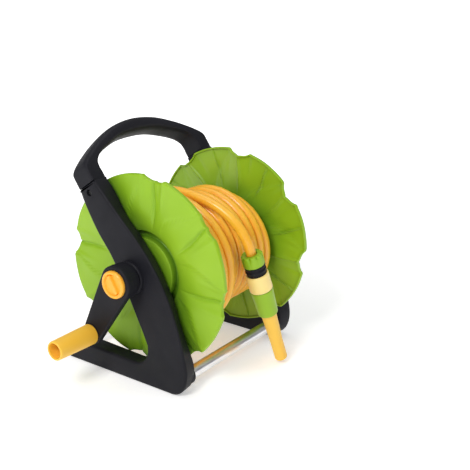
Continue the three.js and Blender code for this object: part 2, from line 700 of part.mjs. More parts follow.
// the origin lies on the floor under the middle of the reel, its hose and nozzle left out
reel.updateMatrixWorld(true);
const extent = new THREE.Box3();
reel.traverse((mesh) => {
  if (mesh.isMesh && mesh.name !== 'hose_winding') extent.expandByObject(mesh, true);
});
const middle = extent.getCenter(new THREE.Vector3());

reel.add(piece('hose_tail', hoseTail(), HOSE));
for (const [name, shape, material] of [
  ['connector_nut', connectorNut(), GREEN],
  ['connector_body', connectorBody(), BLACK],
  ['connector_sleeve', connectorSleeve(), AMBER],
  ['nozzle_body', nozzleBody(), GREEN],
  ['nozzle_stem', nozzleStem(), BLACK],
  ['nozzle_tube', nozzleTube(), YELLOW],
]) {
  reel.add(piece(name, aimed(shape, NOZZLE_TOP, NOZZLE_TIP), material));
}

for (const child of reel.children) {
  child.position.x -= middle.x;
  child.position.y -= middle.y;
}

export default reel;
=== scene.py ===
import json
import math
import bmesh
import bpy
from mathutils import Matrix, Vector

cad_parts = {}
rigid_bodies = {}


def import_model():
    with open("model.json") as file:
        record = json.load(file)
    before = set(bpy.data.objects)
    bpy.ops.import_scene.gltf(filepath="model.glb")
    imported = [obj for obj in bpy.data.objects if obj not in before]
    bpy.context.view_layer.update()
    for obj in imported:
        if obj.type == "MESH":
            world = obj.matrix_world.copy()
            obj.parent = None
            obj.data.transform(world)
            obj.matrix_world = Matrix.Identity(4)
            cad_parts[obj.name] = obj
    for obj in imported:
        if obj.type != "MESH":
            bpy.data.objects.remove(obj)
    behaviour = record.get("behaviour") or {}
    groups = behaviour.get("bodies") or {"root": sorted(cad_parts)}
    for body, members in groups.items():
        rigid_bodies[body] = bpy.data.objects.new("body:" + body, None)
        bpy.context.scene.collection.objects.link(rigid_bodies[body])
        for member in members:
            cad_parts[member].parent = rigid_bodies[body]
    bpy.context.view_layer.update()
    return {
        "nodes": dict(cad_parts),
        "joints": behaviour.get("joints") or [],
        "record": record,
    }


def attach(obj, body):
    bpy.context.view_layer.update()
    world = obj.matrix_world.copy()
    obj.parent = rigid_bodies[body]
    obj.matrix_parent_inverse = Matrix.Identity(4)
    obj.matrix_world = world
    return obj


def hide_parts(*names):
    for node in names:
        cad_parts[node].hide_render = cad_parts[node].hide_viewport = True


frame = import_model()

# ---- frame of reference: millimetres with the axle at x = y = 0, the floor at z = 0 ----
JOINTS = {j["name"]: j for j in frame["joints"]}
AXLE = Vector(JOINTS["drum_spin"]["pos_m"])
AXLE_HEIGHT = AXLE.z * 1000


def row(x, y, z):
    """The scene's point, in metres, for one in millimetres."""
    return Vector((AXLE.x + x / 1000, AXLE.y + y / 1000, z / 1000))


def clamp(v, low=0.0, high=1.0):
    return max(low, min(high, v))


def smoothstep(v, low, high):
    t = clamp((v - low) / (high - low))
    return t * t * (3 - 2 * t)


# ---- camera ----
LENS = 66.24
CAMERA_AT = (-1014.6, -827.05, AXLE_HEIGHT + 467.3)
CAMERA_AIM = (0.76579, 0.55842, -0.31896)


def make_camera():
    data = bpy.data.cameras.new("camera")
    data.sensor_width = 36.0
    data.lens = LENS
    data.clip_end = 20
    cam = bpy.data.objects.new("camera", data)
    bpy.context.scene.collection.objects.link(cam)
    cam.location = row(*CAMERA_AT)
    cam.rotation_euler = Vector(CAMERA_AIM).to_track_quat("-Z", "Y").to_euler()
    bpy.context.scene.camera = cam


make_camera()

# ---- hose ----
HOSE_D = 16.0
LAYERS = [61.1, 75.05, 89.0, 103.0]
WIND_HALF = 84.6
TILT = 8.0
TAIL_X, TAIL_R = -36.0, 105.3
START_DEGREES, LEAVE_DEGREES = 128, 85
TAIL_START = math.radians(START_DEGREES)
NOZZLE_TOP = Vector((-6, -122, AXLE_HEIGHT + 23))
NOZZLE_TIP = Vector((46, -146, 8))
NOZZLE_AIM = (NOZZLE_TIP - NOZZLE_TOP).normalized()


def round_axle(x, radius, angle):
    return Vector((x, -radius * math.cos(angle), AXLE_HEIGHT + radius * math.sin(angle)))


def winding_route():
    """From the stub inside the drum, layer by layer, to the end of the last, part-filled layer."""
    legs = [
        # x from, x to, radius, sideways sway of the turns
        (WIND_HALF, -WIND_HALF, LAYERS[0], 0.0),
        (-WIND_HALF, WIND_HALF, LAYERS[1], 3.0),
        (WIND_HALF - 2 * TILT, -WIND_HALF, LAYERS[2], TILT),
        (-WIND_HALF, TAIL_X, LAYERS[3], TILT),
    ]
    pitches = [18.0, 18.0, 17.4, 17.2]
    turns = [abs(b - a) / p for (a, b, _, _), p in zip(legs, pitches)]
    last = len(legs) - 1
    total = sum(turns)
    # the last turn ends where the tail starts, so the first starts as many turns before it
    per_turn = 20
    count = int(round(total * per_turn))
    points = []
    for i in range(count + 1):
        t = total * i / count
        angle = TAIL_START + 2 * math.pi * (total - t)
        left, leg = t, 0
        while leg < last and left > turns[leg]:
            left -= turns[leg]
            leg += 1
        a, b, radius, sway = legs[leg]
        share = left / turns[leg]
        x = a + (b - a) * share
        # the climb to the next layer takes the last third of a turn
        if leg < last:
            climb = smoothstep(left, turns[leg] - 0.3, turns[leg])
            radius += climb * (LAYERS[leg + 1] - radius)
            sway += climb * (legs[leg + 1][3] - sway)
            x += climb * (legs[leg + 1][0] - b)
        else:
            radius += smoothstep(left, turns[last] - 0.25, turns[last]) * (TAIL_R - radius)
        x += sway * (1 - math.cos(angle - TAIL_START))
        # hand-wound turns wander a little
        x += 0.7 * math.sin(angle * 1.37 + leg) * math.sin(angle * 0.31) * (1 if share < 0.9 else 0)
        radius += 0.35 * math.sin(angle * 2.3 + 2 * leg)
        points.append(round_axle(x, radius, angle))
    return points


def tail_route():
    """Off the top of the winding in one easy sweep, straight into the nut."""

    def on_layer(degrees):
        return round_axle(TAIL_X + (START_DEGREES - degrees) * 0.21, TAIL_R, math.radians(degrees))
    spacing = (START_DEGREES - LEAVE_DEGREES) / 10
    points = [on_layer(START_DEGREES - spacing * step) for step in range(10)]
    leave, enter = on_layer(LEAVE_DEGREES), NOZZLE_TOP
    span = (enter - leave).length
    heading = (on_layer(LEAVE_DEGREES - 0.5) - on_layer(LEAVE_DEGREES + 0.5)).normalized()
    points += bezier([leave, leave + heading * span * 0.6, enter - NOZZLE_AIM * span * 0.25, enter], 16)
    return points + [NOZZLE_TOP + NOZZLE_AIM * 8, NOZZLE_TOP + NOZZLE_AIM * 15]


def hose_curve(name, route, material, caps=False):
    data = bpy.data.curves.new(name, "CURVE")
    data.dimensions = "3D"
    data.bevel_depth = HOSE_D / 2000
    data.bevel_resolution = 5
    data.resolution_u = 2
    data.use_fill_caps = caps
    spline = data.splines.new("BEZIER")
    spline.bezier_points.add(len(route) - 1)
    for point, place in zip(spline.bezier_points, route):
        point.co = row(*place)
        point.handle_left_type = "AUTO"
        point.handle_right_type = "AUTO"
    piece = bpy.data.objects.new(name, data)
    bpy.context.scene.collection.objects.link(piece)
    data.materials.append(material)
    return piece


def length_of(route):
    return sum((b - a).length for a, b in zip(route, route[1:])) / 1000


# ---- materials ----
def node_material(name):
    material = bpy.data.materials.new(name)
    material.use_nodes = True
    tree = material.node_tree
    shader = tree.nodes["Principled BSDF"]
    place = tree.nodes.new("ShaderNodeTexCoord")
    return material, tree, shader, place.outputs["Object"]


def noise(tree, vector, scale, detail=4.0, rough=0.5):
    node = tree.nodes.new("ShaderNodeTexNoise")
    node.inputs["Scale"].default_value = scale
    node.inputs["Detail"].default_value = detail
    node.inputs["Roughness"].default_value = rough
    tree.links.new(vector, node.inputs["Vector"])
    return node.outputs["Fac"]


def ranged(tree, value, low, high, source=(0.3, 0.7)):
    node = tree.nodes.new("ShaderNodeMapRange")
    node.inputs["From Min"].default_value = source[0]
    node.inputs["From Max"].default_value = source[1]
    node.inputs["To Min"].default_value = low
    node.inputs["To Max"].default_value = high
    tree.links.new(value, node.inputs["Value"])
    return node.outputs["Result"]


def mixed(tree, factor, low, high):
    node = tree.nodes.new("ShaderNodeMix")
    node.data_type = "RGBA"
    for socket, value in ((6, low), (7, high)):
        if isinstance(value, bpy.types.NodeSocket):
            tree.links.new(value, node.inputs[socket])
        else:
            node.inputs[socket].default_value = (*value, 1)
    tree.links.new(factor, node.inputs[0])
    return node.outputs[2]


def painted_occlusion_shade(tree, colour, reach, depth, tint):
    """Painted shade: darkens the colour towards the tint in creases and gaps, where less light reaches them.
    """
    near = tree.nodes.new("ShaderNodeAmbientOcclusion")
    near.samples = 8
    near.inputs["Distance"].default_value = reach
    # painted shade: the less open space a point sees, the more its colour goes to the tint
    shade_amount = ranged(tree, near.outputs["AO"], depth, 0.0, (0.15, 0.95))
    return mixed(tree, shade_amount, colour, tint)


def bumped(tree, shader, height, strength, distance):
    node = tree.nodes.new("ShaderNodeBump")
    node.inputs["Strength"].default_value = strength
    node.inputs["Distance"].default_value = distance
    tree.links.new(height, node.inputs["Height"])
    tree.links.new(node.outputs["Normal"], shader.inputs["Normal"])


def srgb(r, g, b):
    def one(v):
        v /= 255
        return v / 12.92 if v <= 0.04045 else ((v + 0.055) / 1.055) ** 2.4
    return (one(r), one(g), one(b))


def plastic(name, dark, light, rough, grain=1400.0, bump=0.12, depth=0.0003, coat=0.0, sss=0.0, shine=0.5,
            crease_shade=None):
    """Moulded plastic: slow colour drift, fine moulded grain, roughness that follows the handling, and, given
    a crease shade colour, painted shade in its creases and gaps.
    """
    material, tree, shader, place = node_material(name)
    drift = ranged(tree, noise(tree, place, 9.0, 3.0), 0.0, 1.0)
    colour = mixed(tree, drift, dark, light)
    if crease_shade:
        # painted shade: creases and gaps darkened towards the crease shade colour
        colour = painted_occlusion_shade(tree, colour, 0.045, 0.8, crease_shade)
    tree.links.new(colour, shader.inputs["Base Color"])
    wear = ranged(tree, noise(tree, place, 38.0, 5.0), rough - 0.06, rough + 0.07)
    tree.links.new(wear, shader.inputs["Roughness"])
    bumped(tree, shader, noise(tree, place, grain, 2.0), bump, depth)
    shader.inputs["Coat Weight"].default_value = coat
    shader.inputs["Coat Roughness"].default_value = 0.25
    shader.inputs["Specular IOR Level"].default_value = shine
    if sss:
        shader.inputs["Subsurface Weight"].default_value = sss
        shader.inputs["Subsurface Radius"].default_value = (0.6, 1.0, 0.2)
        shader.inputs["Subsurface Scale"].default_value = 0.003
    return material


def chrome(name):
    """Bright plated tube with faint drawing lines round it and a little handling haze."""
    material, tree, shader, place = node_material(name)
    stretch = tree.nodes.new("ShaderNodeMapping")
    stretch.inputs["Scale"].default_value = (900, 20, 20)
    tree.links.new(place, stretch.inputs["Vector"])
    lines = noise(tree, stretch.outputs["Vector"], 1.0, 3.0)
    shader.inputs["Metallic"].default_value = 1.0
    haze = noise(tree, place, 25.0, 5.0)
    plating = mixed(tree, ranged(tree, haze, 0, 1), srgb(222, 223, 227), srgb(246, 247, 249))
    tree.links.new(plating, shader.inputs["Base Color"])
    tree.links.new(ranged(tree, haze, 0.26, 0.38), shader.inputs["Roughness"])
    bumped(tree, shader, lines, 0.05, 0.0002)
    return material


def rubber(name, dark, light, rough):
    """Dull dark surface with a fine grain, for seals and blackened screws."""
    material, tree, shader, place = node_material(name)
    colour = mixed(tree, ranged(tree, noise(tree, place, 30.0), 0, 1), dark, light)
    tree.links.new(colour, shader.inputs["Base Color"])
    wear = ranged(tree, noise(tree, place, 90.0), rough - 0.05, rough + 0.08)
    tree.links.new(wear, shader.inputs["Roughness"])
    bumped(tree, shader, noise(tree, place, 700.0), 0.1, 0.0003)
    return material


def hose_material():
    """Smooth soft PVC: a warm core under a glossy skin, with faint extrusion streaks and scuffs, and painted
    shade in the gaps between turns.
    """
    material, tree, shader, place = node_material("hose_pvc")
    drift = ranged(tree, noise(tree, place, 14.0, 4.0), 0, 1)
    colour = mixed(tree, drift, srgb(248, 176, 42), srgb(254, 196, 62))
    # painted shade: the gaps between neighbouring turns darkened towards a deep orange
    tree.links.new(painted_occlusion_shade(tree, colour, 0.012, 0.6, srgb(226, 134, 28)), shader.inputs["Base Color"])
    tree.links.new(ranged(tree, noise(tree, place, 60.0, 6.0), 0.24, 0.38), shader.inputs["Roughness"])
    bumped(tree, shader, noise(tree, place, 420.0, 3.0), 0.06, 0.0003)
    shader.inputs["Coat Weight"].default_value = 0.15
    shader.inputs["Coat Roughness"].default_value = 0.3
    shader.inputs["Subsurface Weight"].default_value = 0.08
    shader.inputs["Subsurface Radius"].default_value = (1.0, 0.6, 0.1)
    shader.inputs["Subsurface Scale"].default_value = 0.003
    return material


BLACK = plastic("black_plastic", srgb(23, 23, 28), srgb(32, 32, 38), 0.5,
                grain=1500, bump=0.2, depth=0.0004, shine=0.15)
# painted shade: the green darkens towards a deep green in its creases and gaps
GREEN = plastic("green_plastic", srgb(138, 181, 24), srgb(151, 191, 36), 0.42,
                grain=1100, bump=0.08, coat=0.06, sss=0.06, shine=0.35, crease_shade=srgb(60, 112, 22))
ORANGE = plastic("orange_plastic", srgb(250, 172, 40), srgb(254, 188, 60), 0.36,
                 grain=1100, bump=0.08, coat=0.1, sss=0.08)
YELLOW = plastic("yellow_plastic", srgb(255, 194, 58), srgb(255, 206, 80), 0.42,
                 grain=1100, bump=0.1, coat=0.05, sss=0.08)
AMBER = plastic("amber_plastic", srgb(252, 214, 118), srgb(255, 228, 148), 0.34,
                grain=1100, bump=0.06, coat=0.15, sss=0.15)
BEARING = plastic("bearing_plastic", srgb(214, 210, 198), srgb(226, 222, 212), 0.5)
STEEL = chrome("chromed_steel")
SCREW = rubber("dark_steel", srgb(18, 18, 20), srgb(30, 30, 33), 0.35)
SEAL = rubber("seal_rubber", srgb(22, 22, 24), srgb(34, 34, 36), 0.6)
HOSE = hose_material()
SLOTS = {
    "black_plastic": BLACK, "green_plastic": GREEN, "chromed_steel": STEEL, "orange_plastic": ORANGE,
    "yellow_plastic": YELLOW, "hose_pvc": HOSE, "seal_rubber": SEAL, "bearing_plastic": BEARING,
    "dark_steel": SCREW, "amber_plastic": AMBER,
}
SLOT_OF = {s["node"]: s["material_slot"] for s in frame["record"]["subparts"]}


def smoothed(mesh, sharp):
    for face in mesh.polygons:
        face.use_smooth = True
    mesh.set_sharp_from_angle(angle=math.radians(sharp))


for name, node in frame["nodes"].items():
    node.data.materials.clear()
    node.data.materials.append(SLOTS[SLOT_OF[name]])
    smoothed(node.data, 32)


# ---- mesh helpers ----
def outward_mesh(name, verts, faces):
    """A mesh from millimetre points in the object's frame, its faces all turned outwards."""
    mesh = bpy.data.meshes.new(name)
    mesh.from_pydata([row(*v) for v in verts], [], faces)
    mesh.update()
    bm = bmesh.new()
    bm.from_mesh(mesh)
    bmesh.ops.recalc_face_normals(bm, faces=bm.faces)
    bm.to_mesh(mesh)
    bm.free()
    return mesh


def make_piece(name, verts, faces, body, slot, nodes=(), sharp=35):
    """A piece that moves with a body and stands for the named nodes."""
    mesh = outward_mesh(name, verts, faces)
    smoothed(mesh, sharp)
    piece = bpy.data.objects.new(name, mesh)
    bpy.context.scene.collection.objects.link(piece)
    mesh.materials.append(SLOTS[slot])
    finish_piece(piece, body, slot, nodes)
    return piece


def finish_piece(piece, body, slot, nodes=()):
    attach(piece, body)
    if nodes:
        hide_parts(*nodes)


def grid_faces(rows, columns, close_rows=False, close_columns=True, start=0):
    """Quads of a grid of rows x columns points, laid out row by row."""
    faces = []
    for i in range(rows if close_rows else rows - 1):
        for k in range(columns if close_columns else columns - 1):
            a = start + i * columns + k
            b = start + i * columns + (k + 1) % columns
            c = start + (i + 1) % rows * columns + (k + 1) % columns
            d = start + (i + 1) % rows * columns + k
            faces.append((a, b, c, d))
    return faces


def eased(profile, radius=0.8, steps=3, closed=True):
    """The [radius, x] profile with its corners rounded; an open one keeps its two ends."""
    count = len(profile)
    out = []
    for i in range(count):
        here = Vector(profile[i])
        if not closed and i in (0, count - 1):
            out.append(here)
            continue
        into, away = here - Vector(profile[i - 1]), Vector(profile[(i + 1) % count]) - here
        if into.angle(away) < 0.12:
            out.append(here)
            continue
        reach = min(radius, into.length * 0.45, away.length * 0.45)
        start, end = here - into.normalized() * reach, here + away.normalized() * reach
        for k in range(steps + 1):
            t = k / steps
            out.append(start * (1 - t) ** 2 + here * (2 * t * (1 - t)) + end * t * t)
    return [(p.x, p.y) for p in out]


def turned(name, profile, place, body, slot, nodes, count=96, shape=None, sharp=38):
    """Turned piece from (radius, x) points: a closed ring, or capped where it meets its own axis."""
    hollow = (Vector(profile[0]) - Vector(profile[-1])).length < 1e-6
    rounded = eased(profile[:-1] if hollow else profile, 0.7, closed=hollow)
    verts = []
    for radius, x in rounded:
        for k in range(count):
            angle = 2 * math.pi * k / count
            here = max(radius, 0.02) + (shape(radius, x, angle) if shape else 0.0)
            verts.append(place(Vector((x, here * math.cos(angle), here * math.sin(angle)))))
    faces = grid_faces(len(rounded), count, close_rows=hollow)
    if not hollow:
        faces.append(tuple(range(count)))
        faces.append(tuple((len(rounded) - 1) * count + k for k in range(count)))
    return make_piece(name, verts, faces, body, slot, nodes, sharp=sharp)


def upright(side, height=AXLE_HEIGHT, y=0.0):
    """Places a piece built along +X on the right (side 1) or left (side -1), at (y, height)."""
    return lambda p: Vector((side * p.x, y + p.y, height + p.z))


def towards(start, end):
    """Places a piece built along +X so that it runs from start towards end."""
    turn = (end - start).to_track_quat("X", "Z")
    return lambda p: start + turn @ p


def through(points, steps):
    """Smooth line through 2-D points, the same curve as the CAD outline's."""
    pts = [points[0]] + list(points) + [points[-1]]
    out = []
    for i in range(1, len(pts) - 2):
        p0, p1, p2, p3 = (Vector(q) for q in pts[i - 1:i + 3])
        v0, v1 = (p2 - p0) / 2, (p3 - p1) / 2
        for k in range(steps):
            t = k / steps
            cubic = (2 * p1 - 2 * p2 + v0 + v1) * t ** 3
            square = (3 * p2 - 3 * p1 - 2 * v0 - v1) * t * t
            out.append(cubic + square + v0 * t + p1)
    out.append(Vector(points[-1]))
    return out


def bezier(points, steps):
    """Points of a quadratic or cubic curve, its ends included."""
    out = []
    for k in range(steps + 1):
        level = [Vector(q) for q in points]
        while len(level) > 1:
            level = [a.lerp(b, k / steps) for a, b in zip(level, level[1:])]
        out.append(level[0])
    return out


def arc(centre, radius, start, end, steps):
    """Points of a circle between two angles, both ends included."""
    out = []
    for k in range(steps + 1):
        angle = start + (end - start) * k / steps
        out.append(Vector((centre[0] + radius * math.cos(angle), centre[1] + radius * math.sin(angle))))
    return out


def without_doubles(outline):
    return [p for i, p in enumerate(outline) if (p - outline[i - 1]).length > 0.05]


def slab(outline, low, high, low_edge, high_edge, steps=5):
    """Plate of a counter-clockwise (y, z) outline between two x values, its edges rounded."""
    count = len(outline)
    inwards = []
    for i in range(count):
        along = (outline[(i + 1) % count] - outline[i - 1]).normalized()
        inwards.append(Vector((-along.y, along.x)))
    quarter = [math.pi / 2 * k / steps for k in range(steps + 1)]
    rings = [(low + low_edge * (1 - math.cos(q)), low_edge * (1 - math.sin(q))) for q in quarter]
    rings += [(high - high_edge * (1 - math.sin(q)), high_edge * (1 - math.cos(q))) for q in quarter]
    verts = []
    for x, inset in rings:
        verts += [Vector((x, p.x + n.x * inset, p.y + n.y * inset)) for p, n in zip(outline, inwards)]
    faces = grid_faces(len(rings), count)
    faces.append(tuple(range(count)))
    faces.append(tuple((len(rings) - 1) * count + k for k in range(count)))
    return verts, faces


def joined(*parts):
    """One vertex and face list from several."""
    verts, faces = [], []
    for some_verts, some_faces in parts:
        faces += [tuple(len(verts) + v for v in face) for face in some_faces]
        verts += some_verts
    return verts, faces


def lathe_data(profile, place, count=96):
    """Vertices and faces of a closed ring profile."""
    rounded = eased(profile, 0.9, closed=True)
    verts = [place(Vector((x, r * math.cos(2 * math.pi * k / count), r * math.sin(2 * math.pi * k / count))))
             for r, x in rounded for k in range(count)]
    return verts, grid_faces(len(rounded), count, close_rows=True)


def rod(radius, start, end, place, sides=64):
    """Vertices and faces of a plain rod along the placed X axis."""
    verts = []
    for x in (start, end):
        for k in range(sides):
            angle = 2 * math.pi * k / sides
            verts.append(place(Vector((x, radius * math.cos(angle), radius * math.sin(angle)))))
    caps = [tuple(range(sides)), tuple(sides + k for k in range(sides))]
    return verts, grid_faces(2, sides) + caps


def cut(piece, cutters):
    """Cuts (radius, from, to, place) rods out of a piece."""
    helpers = []
    for cutter in cutters:
        helper = bpy.data.objects.new("cutter", outward_mesh("cutter", *rod(*cutter)))
        bpy.context.scene.collection.objects.link(helper)
        modifier = piece.modifiers.new("cut", "BOOLEAN")
        modifier.object = helper
        modifier.operation = "DIFFERENCE"
        modifier.solver = "EXACT"
        helpers.append(helper)
    bpy.context.view_layer.update()
    result = bpy.data.meshes.new_from_object(piece.evaluated_get(bpy.context.evaluated_depsgraph_get()))
    piece.modifiers.clear()
    piece.data = result
    smoothed(result, 35)
    for helper in helpers:
        mesh = helper.data
        bpy.data.objects.remove(helper)
        bpy.data.meshes.remove(mesh)


# ---- side frames ----
FRAME_OUTER, FRAME_INNER = 142.0, 115.0
HUB_BORE, HUB_OUTER = 17.0, 148.5
TUBE_R, TUBE_BORE, TUBE_HALF = 10, 8.5, 133
TUBE_HOLE, SCREW_HOLE = 10.2, 5.2
LEG_HALF_DEPTH = 18.5
LEG_MIDDLE = (FRAME_OUTER + FRAME_INNER) / 2
LEAN = math.radians(35)
ALONG = Vector((math.sin(LEAN), math.cos(LEAN)))
ACROSS = Vector((math.cos(LEAN), -math.sin(LEAN)))
FOOT = Vector((83, 299.5))
JOINT_FRONT, JOINT_REAR = FOOT - ACROSS * LEG_HALF_DEPTH, FOOT + ACROSS * LEG_HALF_DEPTH
FRONT_EDGE = [JOINT_FRONT, (28, 272), (-26, 220), (-64, 167), (-88, 111), (-101, 55)]
REAR_EDGE = [(-26, 68), (-12, 98), (33, 185), (67, 231), (90, 270), JOINT_REAR]
FRONT_LINE = [Vector(p) for p in FRONT_EDGE + [(-100, 30), (-74, 0)]]
TUBES = {"front": (-82, 25), "rear": (140, 20)}


def side_outline():
    outline = [Vector((-74, 0))]
    outline += arc((140.5, 18), 18, -math.pi / 2, math.pi / 2, 20)
    outline += [Vector((112, 36)), Vector((8, 33))]
    outline += bezier([(8, 33), (-30, 32), (-26, 68)], 18)
    outline += through(REAR_EDGE, 12)
    outline += through(FRONT_EDGE, 12)
    outline += bezier([(-101, 55), (-106, 30), (-98, 2), (-74, 0)], 18)
    return without_doubles(outline)


def frontness(y, z):
    """How far a point shares in the slant of the leg's front edge, from 0 to 1."""
    here = Vector((y, z))
    distance = 1e9
    for a, b in zip(FRONT_LINE, FRONT_LINE[1:]):
        t = clamp((here - a).dot(b - a) / (b - a).length_squared)
        distance = min(distance, (a + (b - a) * t - here).length)
    strength = smoothstep((FOOT - here).dot(ALONG), 6.4, 96)
    strength *= 0.3 + 0.7 * smoothstep(z, 36, 110)
    return strength * clamp(1 - distance / 34)


def on_handle(x, along, across):
    place = FOOT + ALONG * along + ACROSS * across
    return Vector((x, place.x, place.y))


def leg_body(name):
    """The left leg and base bar with its bore and screw recesses."""
    verts, faces = slab(side_outline(), FRAME_INNER, FRAME_OUTER, 2.5, 4.5)
    leaned = []
    for v in verts:
        shift = 18 * (FRAME_OUTER - v.x) / (FRAME_OUTER - FRAME_INNER) * frontness(v.y, v.z)
        leaned.append(Vector((-v.x, v.y + shift, v.z)))
    body = make_piece(name + "_body", leaned, faces, "frame", "black_plastic", (name,))
    outer = on_handle(2.5 - FRAME_OUTER, -12, 2)
    cut(body, [
        (HUB_BORE, 105, 150, upright(-1)),
        (SCREW_HOLE, -8, 3, towards(outer, outer + Vector((1, 0, 0)))),
        (SCREW_HOLE, -8, 3, rear_screw(-1)),
    ])
    return body


def rear_screw(side):
    seat = on_handle(side * LEG_MIDDLE, -20, 15)
    return towards(seat, seat - Vector((0, ACROSS.x, ACROSS.y)))


def side_frame(side):
    name = "side_frame_right" if side > 0 else "side_frame_left"
    body = leg_body(name)
    if side > 0:
        for vertex in body.data.vertices:
            vertex.co.x = 2 * AXLE.x - vertex.co.x
        body.data.flip_normals()
    collar = 101 if side > 0 else 110.5
    hub_ring = [(HUB_BORE, 113.5), (23, 113.5), (26, 119), (26, 146.5), (24, HUB_OUTER),
                (HUB_BORE, HUB_OUTER)]
    rings = [lathe_data(hub_ring, upright(side))]
    tube_ring = [(TUBE_HOLE, collar), (13, collar), (14.5, collar + 1.5), (14.5, 122), (TUBE_HOLE, 122)]
    for y, z in TUBES.values():
        rings.append(lathe_data(tube_ring, upright(side, z, y), 72))
    screw_ring = [(4.9, -4.4), (6, -4.4), (6.5, -3.8), (6.5, 2), (4.9, 2)]
    rings.append(lathe_data(screw_ring, rear_screw(side), 48))
    if side > 0:
        peg_ring = [(5.2, -12), (9, -12), (9, -1), (8.2, 0), (5.2, 0)]
        rings.append(lathe_data(peg_ring, peg_place(), 48))
    make_piece(name + "_rings", *joined(*rings), "frame", "black_plastic")


def peg_place():
    foot = Vector((LEG_MIDDLE + 4, -4.4, 242.3))
    return towards(foot, foot + Vector((0, -0.72, 0.69)))


side_frame(1)
side_frame(-1)
PEG = [(0, -11.7), (5, -11.7), (5, 0.3), (8, 0.3), (7, 20), (9, 23), (9, 28), (7, 30), (0, 30)]
turned("hanging_peg", PEG, peg_place(), "frame", "black_plastic", ("parking_peg",), 72)
TUBE = [(TUBE_BORE, -TUBE_HALF), (TUBE_R, -TUBE_HALF), (TUBE_R, TUBE_HALF), (TUBE_BORE, TUBE_HALF),
        (TUBE_BORE, -TUBE_HALF)]
for which, (tube_y, tube_z) in TUBES.items():
    turned(which + "_tube", TUBE, upright(1, tube_z, tube_y), "frame", "chromed_steel",
           (which + "_cross_tube",))
SPIGOT = [(4.5, 127), (16.7, 127), (16.7, 148.8), (24, 148.8), (24, 152.5), (11, 153.5), (11, 160.5),
          (8, 163.5), (8, 168.5), (9.5, 170), (8, 172.5), (7.5, 179.5), (6, 180.5), (4.5, 180.5), (4.5, 127)]
turned("tap_spigot", SPIGOT, upright(1), "frame", "black_plastic", ("inlet_spigot",))
AXLE_R, AXLE_BORE = 12, 7
AXLE_PIPE = [(AXLE_BORE, -165), (AXLE_R, -165), (AXLE_R, 124), (AXLE_BORE, 124), (AXLE_BORE, -165)]
turned("axle_pipe", AXLE_PIPE, upright(1), "drum", "chromed_steel", ("axle_tube",))


# ---- carry handle ----
def carry_arch():
    """Loft of rounded sections: boxy where the feet meet the legs, rounder along the arch."""
    outside = [(FRAME_OUTER, 0.3), (FRAME_OUTER, 12), (FRAME_OUTER, 23), (139.3, 28.5), (133, 34.5),
               (115, 46.5), (86, 62), (47, 77), (0, 83)]
    inside = [(FRAME_INNER, 0.3), (FRAME_INNER, 9), (FRAME_INNER, 17), (112, 26), (104, 34), (93, 40),
              (72.5, 47.3), (38, 56.5), (0, 59)]
    boxy = [12, 12, 9, 6, 4.5, 3.6, 3.2, 3.0, 3.0]
    sets = []
    for line in (outside, inside):
        full = line + [(-x, s) for x, s in reversed(line[:-1])]
        sets.append(through(full, 10))
    squareness = through([(b, 0) for b in boxy + boxy[-2::-1]], 10)
    around = 72
    verts = []
    for out, inn, square in zip(sets[0], sets[1], squareness):
        middle, half = (out + inn) / 2, (out - inn) / 2
        power = 2 / max(square.x, 2.4)
        for k in range(around):
            angle = 2 * math.pi * (k + 0.5) / around
            c, t = math.cos(angle), math.sin(angle)
            a = math.copysign(abs(c) ** power, c)
            b = math.copysign(abs(t) ** power, t)
            spot = middle + half * a
            place = FOOT + ALONG * spot.y + ACROSS * (LEG_HALF_DEPTH * b)
            verts.append(Vector((spot.x, place.x, place.y)))
    rows = len(sets[0])
    faces = grid_faces(rows, around)
    faces.append(tuple(range(around)))
    faces.append(tuple((rows - 1) * around + k for k in range(around)))
    parts = [(verts, faces)]
    for side in (-1, 1):
        block = []
        for along in (-32, 4):
            for dx, across in ((-7.5, -10.5), (7.5, -10.5), (7.5, 10.5), (-7.5, 10.5)):
                block.append(on_handle(side * LEG_MIDDLE + dx, along, across))
        parts.append((block, grid_faces(2, 4) + [(0, 1, 2, 3), (4, 5, 6, 7)]))
    return joined(*parts)


make_piece("handle_arch", *carry_arch(), "frame", "black_plastic", ("carry_handle",), sharp=40)

# ---- crank ----
CRANK_ANGLE = math.radians(30.2)
CRANK_LENGTH = 108.0
CRANK_HUB_R, CRANK_END_R = 27.5, 17
CRANK_BORE = 12.3
GRIP_AT, GRIP_BORE = 177.3, 5.3


def on_crank(angle=CRANK_ANGLE, drop=0.0):
    """Places a piece built on the +X side, arm straight down, on the left and swung back."""
    def place(p):
        y, z = p.y, p.z - drop
        return Vector((-p.x, y * math.cos(angle) - z * math.sin(angle),
                       AXLE_HEIGHT + y * math.sin(angle) + z * math.cos(angle)))
    return place


def crank():
    """Tapered arm with its recesses, a raised hub behind it and the floor of the knob's seat."""
    lean = math.asin((CRANK_HUB_R - CRANK_END_R) / CRANK_LENGTH)
    outline = arc((0, 0), CRANK_HUB_R, -lean, math.pi + lean, 48)
    outline += arc((0, -CRANK_LENGTH), CRANK_END_R, math.pi + lean, 2 * math.pi - lean, 36)
    verts, faces = slab(without_doubles(outline), 165.5, 177.2, 1.2, 3.0, 6)
    place = on_crank()
    arm = make_piece("crank_plate", [place(v) for v in verts], faces, "drum", "black_plastic", ("crank_arm",))
    cut(arm, [(CRANK_BORE, 160, 180, place), (21.5, 171, 180, place),
              (GRIP_BORE, 160, 180, on_crank(drop=CRANK_LENGTH))])
    hub_ring = [(CRANK_BORE, 150), (24.5, 150), (26.7, 152), (CRANK_HUB_R, 169), (CRANK_BORE, 169)]
    hub, hub_faces = lathe_data(hub_ring, place, 120)
    make_piece("crank_hub", hub, hub_faces, "drum", "black_plastic", ())
    floor, floor_faces = lathe_data([(6.3, 165.2), (22, 165.2), (22, 171), (6.3, 171)], place, 72)
    make_piece("crank_knob_seat", floor, floor_faces, "drum", "black_plastic", ())


